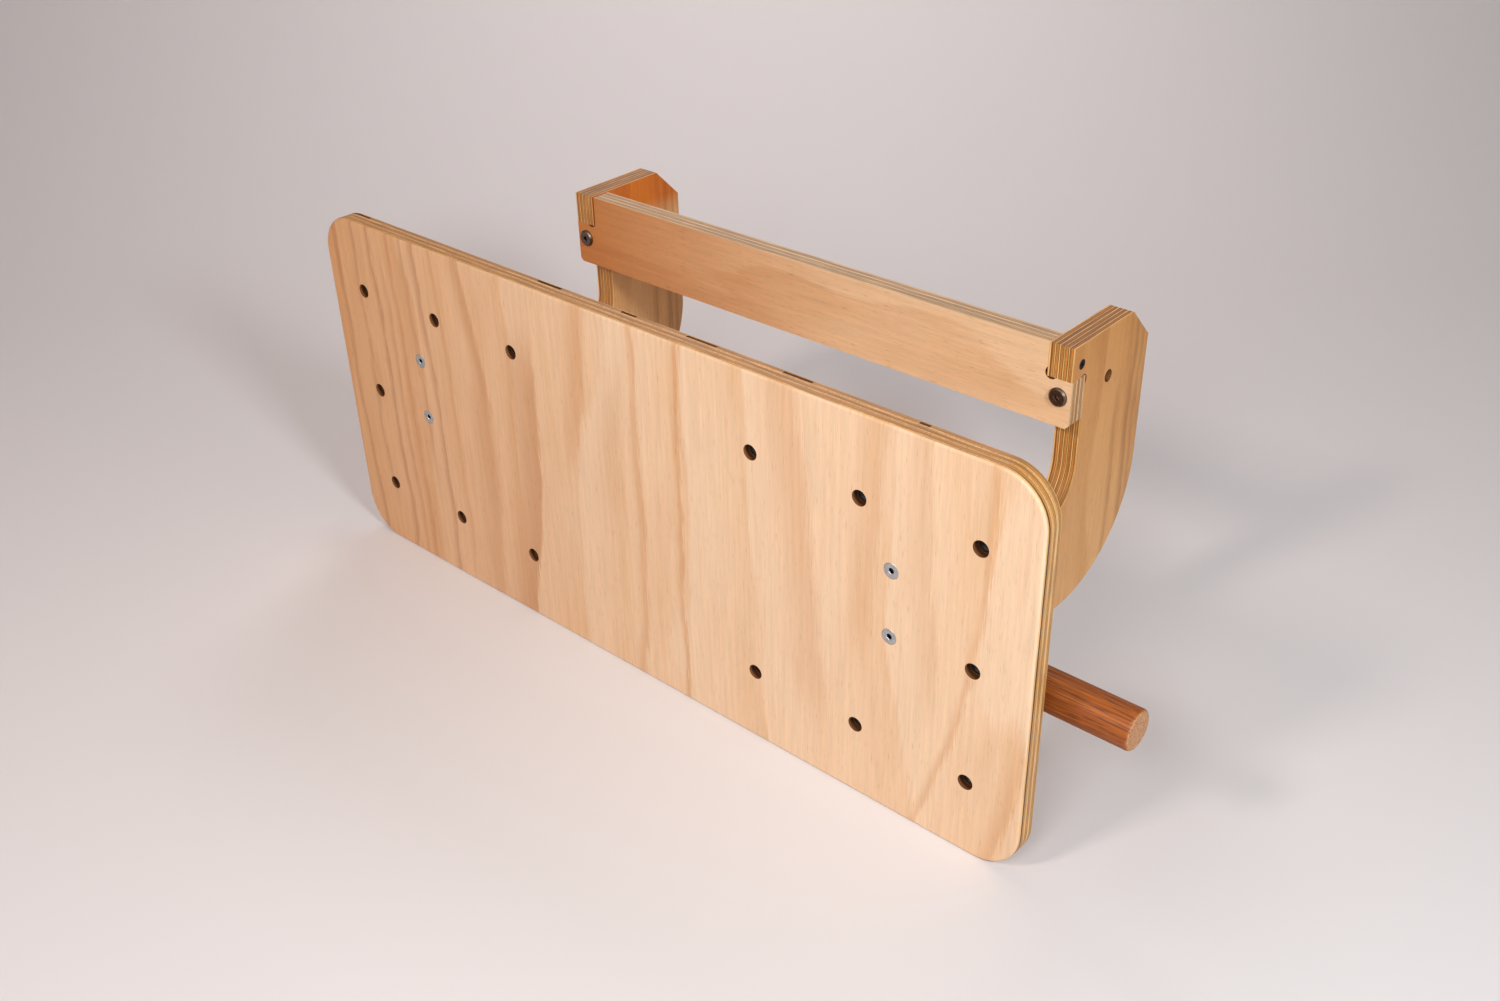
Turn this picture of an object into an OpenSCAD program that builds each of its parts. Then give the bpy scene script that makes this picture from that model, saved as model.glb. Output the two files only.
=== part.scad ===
/* [Front board] */
// Width of the front board
board_w = 720; // [640:1:800]
// Height of the front board
board_h = 315; // [290:1:360]
// Thickness of the front board's plywood
board_t = 18; // [15:0.5:24]
// Radius of the board's four corners in its plane
board_corner_r = 36; // [12:1:40]
// Rounding of the board's front and rear arrises
board_edge_r = 2.5; // [1:0.25:5]
// How far the board hangs below the brackets' underside
board_skirt = 69.5; // [40:0.5:100]

/* [Bolt holes] */
// Diameter of the bolt holes in the board
hole_d = 12; // [11:0.5:13]
// Height between two rows of bolt holes
row_pitch = 95; // [70:1:110]
// Distance between two columns of bolt holes
column_pitch = 95; // [50:1:98]
// From a bracket's inner face to the middle column of holes beside it
column_gap = 17; // [15:0.5:40]

/* [Tee nuts] */
// Diameter of the flange
tee_flange_d = 25; // [22:0.5:28]
// Thickness of the flange
tee_flange_t = 1.5; // [1:0.1:2.5]
// Length of the barrel inside the board
tee_barrel_l = 12; // [8:0.5:14]
// Core diameter of the thread
tee_bore_d = 8.5; // [8:0.1:8.8]
// Length of a prong in the wood
tee_prong_l = 7; // [4:0.5:9]
// Width of a prong across the flange
tee_prong_w = 3; // [2:0.25:4]
// Thickness of a prong
tee_prong_t = 1.5; // [1:0.1:2]

/* [Brackets] */
// Distance between the middles of the two brackets
bracket_pitch = 495; // [420:1:540]
// Thickness of the brackets' plywood
bracket_t = 21; // [18:0.5:24]
// Depth of the rear arm, from the crossbar's back to the bracket's back
arm_w = 91; // [70:1:110]
// Height of the lower arm under the throat
lower_arm_h = 86; // [76:1:110]
// Outer radius of the bend at the back
bend_outer_r = 95; // [40:1:110]
// Inner radius at both lower corners of the throat
bend_inner_r = 40; // [10:1:60]
// Room for the door trim, from the crossbar's underside down to the throat's floor
trim_h = 76; // [65:1:110]
// Height of the nose that sits in the crossbar's notch
nose_h = 27; // [22:0.5:32]
// Bevel at the top of the bracket's back
top_chamfer = 27; // [10:1:40]
// Height of the front leg above the upper board bolt
leg_over_bolt = 29; // [15:1:50]
// Rounding of the front leg's free corner
leg_corner_r = 12; // [3:1:20]
// Diameter of the cutter that relieves the inside corners
relief_d = 10; // [6:0.5:12]
// How far a corner relief cuts past both edges of its corner
relief_cut = 1.8; // [1:0.1:2.5]

/* [Crossbar] */
// Thickness of the crossbar's plywood
crossbar_t = 18; // [15:0.5:24]
// Height of the crossbar
crossbar_h = 65; // [60:0.5:80]
// Bevel of the crossbar's lower corners
crossbar_chamfer = 4; // [1:0.5:8]

/* [Bar] */
// Diameter of the round bar
bar_d = 30; // [26:0.5:36]
// Length of the round bar
bar_l = 820; // [760:1:900]
// Rounding of the bar's ends
bar_end_r = 3; // [1:0.25:6]
// Height of the bar's axis above the brackets' underside
bar_rise = 55; // [40:0.5:65]
// Gap between the board's back and the bar
bar_setback = 20; // [12:0.5:40]
// How far the bar stands out behind the front leg
bar_proud = 2; // [1:0.5:6]
// Clear depth for the wall, between the bar's back and the crossbar's front
wall_gap = 130; // [110:1:170]

/* [Machine bolts] */
// Diameter of the bolts
bolt_d = 6; // [5:0.5:7]
// Width across the flats of the hex sockets
socket_af = 4; // [3:0.25:4.5]
// Depth of the hex sockets
socket_depth = 1.8; // [1.2:0.1:1.9]
// How far a bolt runs past its barrel nut
bolt_tail = 4; // [1:0.5:5]
// Diameter of the board bolts' countersunk heads
board_head_d = 12; // [10:0.5:14]
// Height of the lower board bolt above the top of the bar
bolt_over_bar = 14; // [10:0.5:20]
// Height between the two board bolts of a bracket
board_bolt_pitch = 53.5; // [40:0.5:70]
// Diameter of the crossbar bolts' flat heads
crossbar_head_d = 15; // [12:0.5:17]
// Thickness of the crossbar bolts' heads
crossbar_head_t = 2.4; // [2:0.1:4]
// Bevel around the crossbar bolts' heads
crossbar_head_bevel = 1; // [0.4:0.1:1.2]
// Depth of the crossbar bolt's axis below the notch
crossbar_bolt_drop = 14; // [11:0.5:18]

/* [Barrel nuts] */
// Diameter of the barrel nuts
nut_d = 10; // [9:0.5:12]
// Length of the barrel nuts
nut_l = 13; // [12:0.5:17]
// Width of the screwdriver slot in a nut's end
nut_slot_w = 1.6; // [1:0.1:2]
// Depth of the screwdriver slot
nut_slot_depth = 1.5; // [0.8:0.1:2]
// Wood behind the axis of a board bolt's nut, to the back of the front leg
board_nut_cover = 18; // [15:0.5:24]
// From the crossbar's back to the axis of its bolt's nut
crossbar_nut_set = 34.5; // [20:0.5:50]

/* [Wood screws] */
// Diameter of the screws
screw_d = 4; // [3.5:0.1:5]
// Diameter of the screws' countersunk heads
screw_head_d = 8; // [7:0.25:9.5]
// Length of the pointed tip
screw_tip_l = 5; // [3:0.5:8]
// Width of the slots in the cross recess
recess_w = 1.2; // [0.8:0.1:1.4]
// Length of the slots in the cross recess
recess_l = 4.2; // [3:0.1:4.5]
// Depth of the cross recess
recess_depth = 1.4; // [0.8:0.1:1.5]
// Length of the screws through the noses into the crossbar's ends
end_screw_l = 50; // [35:1:70]
// From the crossbar's front face to the axis of an end screw
end_screw_in = 11.5; // [7:0.5:13]
// Depth of an end screw's axis below the brackets' top
end_screw_down = 16; // [8:0.5:18]
// How far a bar screw bites into the bar
bar_screw_bite = 20; // [10:1:25]

/* [Fits] */
// Clearance around barrels, nuts, screws and the bar in their holes
fit_gap = 0.1; // [0.05:0.01:0.2]
// Clearance around bolt shanks in the wood
bolt_gap = 0.25; // [0.15:0.01:0.4]
// Depth of a blind hole past the end of what it holds
hole_spare = 1; // [0.5:0.1:1.9]

/* [Hidden] */
$fn = 96;
pass = 1;
tee_prongs = 4;
prong_inset = 1.5;
head_rim = 0.3;
point_r = 0.3;
bolt_end_bevel = 0.6;

// Depths run along Y from the crossbar's middle, with the board in front at negative Y
crossbar_front = -crossbar_t / 2;
crossbar_back = crossbar_t / 2;
bracket_back = crossbar_back + arm_w;
bar_back = crossbar_front - wall_gap;
bar_y = bar_back - bar_d / 2;
board_back = bar_back - bar_d - bar_setback;
board_front = board_back - board_t;
leg_back = bar_back - bar_proud;

// Heights run along Z from the crossbar's underside
notch_z = crossbar_h - nose_h;
throat_z = -trim_h;
bracket_bottom = throat_z - lower_arm_h;
board_bottom = bracket_bottom - board_skirt;
board_middle = board_bottom + board_h / 2;
bar_z = bracket_bottom + bar_rise;
board_bolt_z = [for (i = [0, 1]) bar_z + bar_d / 2 + bolt_over_bar + i * board_bolt_pitch];
leg_top = board_bolt_z[1] + leg_over_bolt;
crossbar_bolt_z = notch_z - crossbar_bolt_drop;
end_screw_y = crossbar_front + end_screw_in;
end_screw_z = crossbar_h - end_screw_down;

// Widths run along X from the plane of symmetry
bracket_x = bracket_pitch / 2;
bracket_outer = bracket_x + bracket_t / 2;
bracket_inner = bracket_x - bracket_t / 2;
column_x = [for (i = [-1, 0, 1]) bracket_inner - column_gap + i * column_pitch];

board_nut_y = leg_back - board_nut_cover;
crossbar_nut_y = crossbar_back + crossbar_nut_set;
board_bolt_l = board_nut_y - board_front + nut_d / 2 + bolt_tail;
crossbar_bolt_l = crossbar_nut_y - crossbar_front + nut_d / 2 + bolt_tail;
bar_screw_l = bar_rise - bar_d / 2 + bar_screw_bite;
prong_r = tee_flange_d / 2 - prong_inset - tee_prong_t / 2;

ply_tan = [0.88, 0.70, 0.50];
bracket_tan = [0.80, 0.60, 0.38];
crossbar_peach = [0.87, 0.66, 0.49];
bar_brown = [0.58, 0.33, 0.18];
zinc = [0.72, 0.73, 0.74];
dark_bronze = [0.16, 0.12, 0.11];
black_steel = [0.06, 0.06, 0.06];

sides = [["left", -1], ["right", 1]];
heights = [["lower", 0], ["upper", 1]];
columns = [["inner", 0], ["middle", 1], ["outer", 2]];
rows = [["bottom", -1], ["top", 1]];

// Every bolt hole of the board: the name of its tee nut, its X and its Z
tee_places = concat(
    [for (s = sides, c = columns, r = rows) [
        str("tee_nut_", s[0], "_", c[0], "_", r[0]),
        s[1] * column_x[c[1]],
        board_middle + r[1] * row_pitch
    ]],
    [for (s = sides) [str("tee_nut_", s[0], "_outer_middle"), s[1] * column_x[2], board_middle]]
);

// The two board bolts and nuts of each bracket: the end of the name, the side and the Z
board_bolt_places = [for (s = sides, h = heights) [str(s[0], "_", h[0]), s[1], board_bolt_z[h[1]]]];

// A straight round hole along X, from one X to another
module hole_x(from, to, y, z, d) {
    translate([from, y, z]) rotate([0, 90, 0]) cylinder(d = d, h = to - from);
}

// A straight round hole along Y, from one Y to another
module hole_y(x, from, to, z, d) {
    translate([x, from, z]) rotate([-90, 0, 0]) cylinder(d = d, h = to - from);
}

// Countersunk bolt or screw with its head at the origin, pointing up
module countersunk(head_d, d, l, tip_l, tip_r) {
    rotate_extrude() polygon([
        [0, 0],
        [head_d / 2, 0],
        [head_d / 2, head_rim],
        [d / 2, head_rim + (head_d - d) / 2],
        [d / 2, l - tip_l],
        [tip_r, l],
        [0, l]
    ]);
}

// Hole for a countersunk bolt or screw, open past its head
module countersunk_hole(head_d, d, l) {
    cone_end = head_rim + (head_d - d) / 2;
    rotate_extrude() polygon([
        [0, -pass],
        [head_d / 2, -pass],
        [head_d / 2, head_rim],
        [d / 2, cone_end],
        [0, cone_end]
    ]);
    cylinder(d = d, h = l);
}

// Section through the edge of a slab whose two arrises are rounded, from its corner's centre outwards
module edge_section(corner_r, t, edge_r) {
    flat_w = corner_r - edge_r;
    square([flat_w, t]);
    translate([0, edge_r]) square([corner_r, t - 2 * edge_r]);
    translate([flat_w, edge_r]) circle(edge_r);
    translate([flat_w, t - edge_r]) circle(edge_r);
}

// Slab centred on Z with rounded corners and arrises
module rounded_slab(w, h, t, corner_r, edge_r) {
    core = [w - 2 * corner_r, h - 2 * corner_r];
    translate([-core[0] / 2, -core[1] / 2, 0]) cube([core[0], core[1], t]);
    for (i = [0 : 3]) {
        reach = core[i % 2] / 2;
        run = core[(i + 1) % 2];
        rotate(90 * i) translate([reach, run / 2, 0]) {
            rotate([90, 0, 0]) linear_extrude(run) edge_section(corner_r, t, edge_r);
            rotate_extrude(angle = 90) edge_section(corner_r, t, edge_r);
        }
    }
}

// A tee nut's prongs, pointing up from the face of its flange
module prongs() {
    for (i = [0 : tee_prongs - 1])
        rotate(360 / tee_prongs * (i + 0.5))
            translate([prong_r - tee_prong_t / 2, -tee_prong_w / 2, 0])
                cube([tee_prong_t, tee_prong_w, tee_prong_l]);
}

// The pockets that a tee nut's prongs leave in the wood
module prong_pockets() {
    size = [tee_prong_t + 2 * fit_gap, tee_prong_w + 2 * fit_gap, tee_prong_l + hole_spare + pass];
    for (i = [0 : tee_prongs - 1])
        rotate(360 / tee_prongs * (i + 0.5))
            translate([prong_r - size[0] / 2, -size[1] / 2, -pass])
                cube(size);
}

module board() {
    color(ply_tan) difference() {
        translate([0, board_back, board_middle]) rotate([90, 0, 0])
            rounded_slab(board_w, board_h, board_t, board_corner_r, board_edge_r);
        for (p = tee_places) {
            hole_y(p[1], board_front - pass, board_back + pass, p[2], hole_d);
            translate([p[1], board_back, p[2]]) rotate([90, 0, 0]) prong_pockets();
        }
        for (p = board_bolt_places)
            translate([p[1] * bracket_x, board_front, p[2]]) rotate([-90, 0, 0])
                countersunk_hole(board_head_d + 2 * fit_gap, bolt_d + 2 * bolt_gap, board_t + pass);
    }
}

// Space between the front leg and the rear arm, open at the top, in Y and Z
module throat() {
    w = crossbar_back - leg_back;
    rise = crossbar_h - throat_z + pass;
    translate([leg_back + bend_inner_r, throat_z]) square([w - 2 * bend_inner_r, rise]);
    translate([leg_back, throat_z + bend_inner_r]) square([w, rise - bend_inner_r]);
    for (y = [leg_back + bend_inner_r, crossbar_back - bend_inner_r])
        translate([y, throat_z + bend_inner_r]) circle(bend_inner_r);
}

// What a rounded corner takes off a square one, with the corner at the upper right
module corner_waste(r) {
    difference() {
        translate([-r, -r]) square(r + pass);
        translate([-r, -r]) circle(r);
    }
}

// Outline of a bracket in Y and Z: front leg, lower arm, bend, rear arm and nose
module bracket_outline() {
    relief_set = relief_d / 2 - relief_cut;
    difference() {
        union() {
            difference() {
                translate([board_back, bracket_bottom])
                    square([bracket_back - board_back, crossbar_h - bracket_bottom]);
                throat();
                translate([board_back - pass, leg_top])
                    square([leg_back - board_back + 2 * pass, crossbar_h - leg_top + pass]);
                translate([leg_back, leg_top]) corner_waste(leg_corner_r);
                translate([bracket_back, bracket_bottom]) rotate(-90) corner_waste(bend_outer_r);
            }
            translate([crossbar_front, notch_z]) square([crossbar_t, nose_h]);
        }
        translate([crossbar_back - relief_set, notch_z - relief_set]) circle(d = relief_d);
        translate([bracket_back, crossbar_h]) polygon([[-top_chamfer, 0], [pass, pass], [0, -top_chamfer]]);
    }
}

module bracket(side) {
    low_x = side * bracket_x - bracket_t / 2 - pass;
    high_x = side * bracket_x + bracket_t / 2 + pass;
    nut_hole_d = nut_d + 2 * fit_gap;
    shank_hole_d = bolt_d + 2 * bolt_gap;
    past_nut = nut_d / 2 + bolt_tail + hole_spare;
    color(bracket_tan) difference() {
        translate([side * bracket_x - bracket_t / 2, 0, 0]) rotate([90, 0, 90])
            linear_extrude(bracket_t) bracket_outline();
        hole_x(low_x, high_x, bar_y, bar_z, bar_d + 2 * fit_gap);
        for (z = board_bolt_z) {
            hole_x(low_x, high_x, board_nut_y, z, nut_hole_d);
            hole_y(side * bracket_x, board_back - pass, board_nut_y + past_nut, z, shank_hole_d);
        }
        hole_x(low_x, high_x, crossbar_nut_y, crossbar_bolt_z, nut_hole_d);
        hole_y(side * bracket_x, crossbar_back - pass, crossbar_nut_y + past_nut, crossbar_bolt_z,
               shank_hole_d);
        end_screw_hole(side);
        bar_screw_hole(side);
    }
}

module left_bracket() {
    bracket(-1);
}

module right_bracket() {
    bracket(1);
}

// An outline on the right side, or mirrored to the left
module on_side(side) {
    if (side < 0) mirror([1, 0]) children();
    else children();
}

// Outline of the crossbar in X and Z, with a notch at each upper corner
module crossbar_outline() {
    relief_set = relief_d / 2 - relief_cut;
    difference() {
        translate([-bracket_outer, 0]) square([2 * bracket_outer, crossbar_h]);
        for (s = sides) on_side(s[1]) {
            translate([bracket_inner, notch_z]) square([bracket_t + pass, nose_h + pass]);
            translate([bracket_inner + relief_set, notch_z + relief_set]) circle(d = relief_d);
            translate([bracket_outer, 0])
                polygon([[-crossbar_chamfer, 0], [pass, -pass], [0, crossbar_chamfer]]);
        }
    }
}

module crossbar() {
    color(crossbar_peach) difference() {
        translate([0, crossbar_back, 0]) rotate([90, 0, 0]) linear_extrude(crossbar_t) crossbar_outline();
        for (s = sides) {
            hole_y(s[1] * bracket_x, crossbar_front - pass, crossbar_back + pass, crossbar_bolt_z,
                   bolt_d + 2 * bolt_gap);
            end_screw_hole(s[1]);
        }
    }
}

// Hardwood bar, turned with rounded ends
module bar() {
    straight = bar_l / 2 - bar_end_r;
    color(bar_brown) difference() {
        translate([0, bar_y, bar_z]) rotate([0, 90, 0]) rotate_extrude() {
            translate([0, -straight]) square([bar_d / 2, 2 * straight]);
            translate([0, -bar_l / 2]) square([bar_d / 2 - bar_end_r, bar_l]);
            for (end = [-1, 1]) translate([bar_d / 2 - bar_end_r, end * straight]) circle(bar_end_r);
        }
        for (s = sides) bar_screw_hole(s[1]);
    }
}

// Hex socket sunk into a head at the origin, pointing up
module hex_socket() {
    translate([0, 0, -pass]) cylinder(d = socket_af / cos(30), h = socket_depth + pass, $fn = 6);
}

// Countersunk socket bolt through the board into the barrel nut of a front leg
module board_bolt(place) {
    color(zinc) translate([place[1] * bracket_x, board_front, place[2]]) rotate([-90, 0, 0]) difference() {
        countersunk(board_head_d, bolt_d, board_bolt_l, bolt_end_bevel, bolt_d / 2 - bolt_end_bevel);
        hex_socket();
    }
}

// Flat-head furniture bolt through the crossbar into the barrel nut of a rear arm
module crossbar_bolt(side) {
    head_r = crossbar_head_d / 2;
    shank_r = bolt_d / 2;
    color(dark_bronze) translate([side * bracket_x, crossbar_front - crossbar_head_t, crossbar_bolt_z])
        rotate([-90, 0, 0]) difference() {
            rotate_extrude() polygon([
                [0, 0],
                [head_r - crossbar_head_bevel, 0],
                [head_r, crossbar_head_bevel],
                [head_r, crossbar_head_t],
                [shank_r, crossbar_head_t],
                [shank_r, crossbar_head_t + crossbar_bolt_l - bolt_end_bevel],
                [shank_r - bolt_end_bevel, crossbar_head_t + crossbar_bolt_l],
                [0, crossbar_head_t + crossbar_bolt_l]
            ]);
            hex_socket();
        }
}

// Barrel nut across a bracket, with a cross hole for its bolt and a slot in its outer end
module barrel_nut(side, y, z) {
    color(zinc) translate([side * bracket_x, y, z]) difference() {
        rotate([0, 90, 0]) cylinder(d = nut_d, h = nut_l, center = true);
        hole_y(0, -nut_d, nut_d, 0, bolt_d + 2 * fit_gap);
        translate([side * (nut_l - nut_slot_depth) / 2, 0, 0])
            cube([nut_slot_depth, nut_d + 2 * pass, nut_slot_w], center = true);
    }
}

// Countersunk wood screw with a cross recess, head at the origin, pointing up
module wood_screw(l) {
    color(black_steel) difference() {
        countersunk(screw_head_d, screw_d, l, screw_tip_l, point_r);
        for (a = [0, 90]) rotate(a)
            translate([-recess_l / 2, -recess_w / 2, -pass]) cube([recess_l, recess_w, recess_depth + pass]);
    }
}

module screw_hole(l) {
    countersunk_hole(screw_head_d + 2 * fit_gap, screw_d + 2 * fit_gap, l + hole_spare);
}

// Place of an end screw: through the nose of a bracket into the crossbar's end
module at_end_screw(side) {
    translate([side * bracket_outer, end_screw_y, end_screw_z]) rotate([0, -90 * side, 0]) children();
}

module end_screw(side) {
    at_end_screw(side) wood_screw(end_screw_l);
}

module end_screw_hole(side) {
    at_end_screw(side) screw_hole(end_screw_l);
}

// Place of a bar screw: up through the lower arm of a bracket into the bar
module at_bar_screw(side) {
    translate([side * bracket_x, bar_y, bracket_bottom]) children();
}

module bar_screw(side) {
    at_bar_screw(side) wood_screw(bar_screw_l);
}

module bar_screw_hole(side) {
    at_bar_screw(side) screw_hole(bar_screw_l);
}

// Pronged tee nut: flange on the board's back, barrel and prongs inside the board
module tee_nut(place) {
    color(zinc) translate([place[1], board_back + tee_flange_t, place[2]]) rotate([90, 0, 0]) difference() {
        union() {
            cylinder(d = tee_flange_d, h = tee_flange_t);
            cylinder(d = hole_d - 2 * fit_gap, h = tee_flange_t + tee_barrel_l);
            translate([0, 0, tee_flange_t]) prongs();
        }
        translate([0, 0, -pass]) cylinder(d = tee_bore_d, h = tee_flange_t + tee_barrel_l + 2 * pass);
    }
}

board();
left_bracket();
right_bracket();
crossbar();
bar();
for (p = board_bolt_places) {
    board_bolt(p);
    barrel_nut(p[1], board_nut_y, p[2]);
}
for (s = sides) {
    crossbar_bolt(s[1]);
    barrel_nut(s[1], crossbar_nut_y, crossbar_bolt_z);
    end_screw(s[1]);
    bar_screw(s[1]);
}
for (p = tee_places) {
    tee_nut(p);
}
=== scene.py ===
import math

import bmesh
import bpy
from mathutils import Matrix, Vector


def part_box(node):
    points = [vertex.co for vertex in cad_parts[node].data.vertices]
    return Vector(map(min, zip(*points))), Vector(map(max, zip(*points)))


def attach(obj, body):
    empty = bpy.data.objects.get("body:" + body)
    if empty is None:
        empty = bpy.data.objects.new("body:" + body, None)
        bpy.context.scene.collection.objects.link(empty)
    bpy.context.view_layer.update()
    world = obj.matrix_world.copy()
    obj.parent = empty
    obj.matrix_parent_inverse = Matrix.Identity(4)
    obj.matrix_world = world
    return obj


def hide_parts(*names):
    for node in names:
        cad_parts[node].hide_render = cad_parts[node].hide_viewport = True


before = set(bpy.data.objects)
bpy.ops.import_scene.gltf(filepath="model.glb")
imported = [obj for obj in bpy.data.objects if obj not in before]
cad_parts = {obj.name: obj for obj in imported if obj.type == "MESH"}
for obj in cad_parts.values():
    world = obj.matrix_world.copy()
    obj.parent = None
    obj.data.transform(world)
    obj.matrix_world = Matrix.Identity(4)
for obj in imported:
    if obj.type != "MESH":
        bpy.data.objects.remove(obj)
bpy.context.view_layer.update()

# Front board: the panel that the climbing holds are bolted to.
# Seven-ply radiata pine plywood with a satin lacquer, sawn with round corners, its arrises rounded over
# with a router, drilled for the hold bolts and countersunk for the bolts that hold it to the brackets.
MM = 0.001
board_low, board_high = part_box("board")
board_size = board_high - board_low
board_middle = (board_low + board_high) / 2
board_corner_r = 36 * MM
board_arris_r = 2.5 * MM
board_plies = 7
board_cross_share = 0.36
board_ring_w = 34 * MM
# The board's face is tinted darker and warmer towards its left end, the tint gone at its middle
board_side_tint = ("X", board_low.x, 0, "#EBCFAF")
hold_hole_r = 6 * MM
shank_hole_r = 3.25 * MM
countersink_r, countersink_rim, countersink_depth = 6.1 * MM, 0.3 * MM, 3.15 * MM
drill_over = 1 * MM
tee_nut_names = sorted(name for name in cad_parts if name.startswith("tee_nut_"))
board_bolt_names = sorted(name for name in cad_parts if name.startswith("board_bolt_"))

# Gaps in the board's sixth ply that open on its top edge, in millimetres: middle across the board, length
core_gaps = [(-322, 25), (-87, 26), (-2, 15), (70, 28), (157, 25), (260, 8)]
core_gap_ply = 6
core_gap_depth = 9 * MM
core_gap_margin = 0.3


def middle_of(name):
    """Middle of the box around a node of the frame."""
    low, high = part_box(name)
    return (low + high) / 2


def fix_place():
    """Moves the place, turn and scale of the piece in hand into its mesh."""
    bpy.ops.object.transform_apply(location=True, rotation=True, scale=True)


def begin(primitive, scale=(1, 1, 1), **settings):
    """Adds a primitive with nothing else selected, fixes its place in its mesh and opens it for editing."""
    bpy.ops.object.select_all(action="DESELECT")
    primitive(**settings)
    bpy.context.object.scale = scale
    fix_place()
    bpy.ops.object.mode_set(mode="EDIT")
    return bpy.context.object


def pick(kind, test):
    """Selects the vertices, edges or faces of the mesh in hand that pass a test on their place."""
    bpy.ops.mesh.select_mode(type=kind)
    bpy.ops.mesh.select_all(action="DESELECT")
    mesh = bmesh.from_edit_mesh(bpy.context.object.data)
    for part in {"VERT": mesh.verts, "EDGE": mesh.edges, "FACE": mesh.faces}[kind]:
        part.select = test(part)
    mesh.select_flush_mode()
    bmesh.update_edit_mesh(bpy.context.object.data)


def extrude(x, y, z):
    """Extrudes what is selected and moves it."""
    bpy.ops.mesh.extrude_region_move(TRANSFORM_OT_translate={"value": (x, y, z)})


def close():
    """Turns every face outwards and leaves edit mode."""
    bpy.ops.mesh.select_all(action="SELECT")
    bpy.ops.mesh.normals_make_consistent(inside=False)
    bpy.ops.object.mode_set(mode="OBJECT")


def turned(rings, place=(0, 0, 0), direction=(0, 0, 1), sides=48):
    """A solid turned on a lathe, from (radius, distance) rings, laid from a place along a direction."""
    first_r, first_at = rings[0]
    piece = begin(bpy.ops.mesh.primitive_circle_add, vertices=sides, radius=first_r, fill_type="NGON",
                  location=(0, 0, first_at))
    bpy.ops.mesh.select_all(action="SELECT")
    for (r, at), (next_r, next_at) in zip(rings, rings[1:]):
        extrude(0, 0, next_at - at)
        bpy.ops.transform.resize(value=(next_r / r, next_r / r, 1), center_override=(0, 0, next_at))
    close()
    piece.rotation_euler = Vector(direction).to_track_quat("Z", "Y").to_euler()
    piece.location = place
    fix_place()
    return piece


def bore(r, length, place, direction, sides=48):
    """Cutter for a straight round hole."""
    return turned([(r, 0), (r, length)], place, direction, sides)


def block(low, high):
    """A plain box between two corners, as a cutter."""
    low, high = Vector(low), Vector(high)
    piece = begin(bpy.ops.mesh.primitive_cube_add, size=1, location=(low + high) / 2, scale=high - low)
    close()
    return piece


def cut(piece, *cutters, operation="DIFFERENCE"):
    """Cuts each cutter out of the piece, or joins it on, and removes it."""
    for cutter in cutters:
        drill = piece.modifiers.new("cut", "BOOLEAN")
        drill.object = cutter
        drill.operation = operation
        drill.solver = "EXACT"
        bpy.context.view_layer.objects.active = piece
        bpy.ops.object.modifier_apply(modifier=drill.name)
        bpy.data.objects.remove(cutter)


def take(*pieces):
    """Selects these pieces alone, the first one in hand."""
    bpy.ops.object.select_all(action="DESELECT")
    for piece in pieces:
        piece.select_set(True)
    bpy.context.view_layer.objects.active = pieces[0]


def joined(cutters):
    """Several separate cutters as one."""
    take(*cutters)
    bpy.ops.object.join()
    return cutters[0]


def hand_over(piece, node, material, eased=0.0, sharp_angle=40):
    """Eases the piece's sharp edges, settles its shading and lets it stand for its node of the frame."""
    take(piece)
    bpy.ops.object.shade_smooth_by_angle(angle=math.radians(sharp_angle))
    if eased:
        ease = piece.modifiers.new("eased edges", "BEVEL")
        ease.width = eased
        ease.segments = 2
        ease.limit_method = "ANGLE"
        ease.angle_limit = math.radians(sharp_angle)
        bpy.ops.object.modifier_apply(modifier=ease.name)
    settle = piece.modifiers.new("face normals", "WEIGHTED_NORMAL")
    settle.keep_sharp = True
    bpy.ops.object.modifier_apply(modifier=settle.name)
    piece.name = f"{node}_finished"
    piece.data.name = piece.name
    piece.data.materials.clear()
    piece.data.materials.append(material)
    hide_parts(node)
    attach(piece, "root")


def linear(code):
    """An sRGB hex colour as linear RGBA."""
    parts = [int(code[i:i + 2], 16) / 255 for i in (1, 3, 5)]
    return [c / 12.92 if c <= 0.04045 else ((c + 0.055) / 1.055) ** 2.4 for c in parts] + [1]


def blank(name):
    """A new material, its node tree and its shader."""
    material = bpy.data.materials.new(name)
    material.use_nodes = True
    return material, material.node_tree, material.node_tree.nodes["Principled BSDF"]


def feed(tree, node, values):
    """Sets or links a node's inputs. A node given as a value stands for its first output."""
    for key, value in dict(values).items():
        if isinstance(value, bpy.types.Node):
            value = value.outputs[0]
        if isinstance(value, bpy.types.NodeSocket):
            tree.links.new(value, node.inputs[key])
        else:
            node.inputs[key].default_value = value


def add(tree, kind, values=(), stops=(), **settings):
    """Adds a shader node, feeds its inputs and gives a colour ramp its (place, colour) stops."""
    made = tree.nodes.new("ShaderNode" + kind)
    for key, value in settings.items():
        setattr(made, key, value)
    feed(tree, made, values)
    for i, (place, colour) in enumerate(stops):
        if i == len(made.color_ramp.elements):
            made.color_ramp.elements.new(1)
        made.color_ramp.elements[i].position = place
        made.color_ramp.elements[i].color = linear(colour)
    return made


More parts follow.
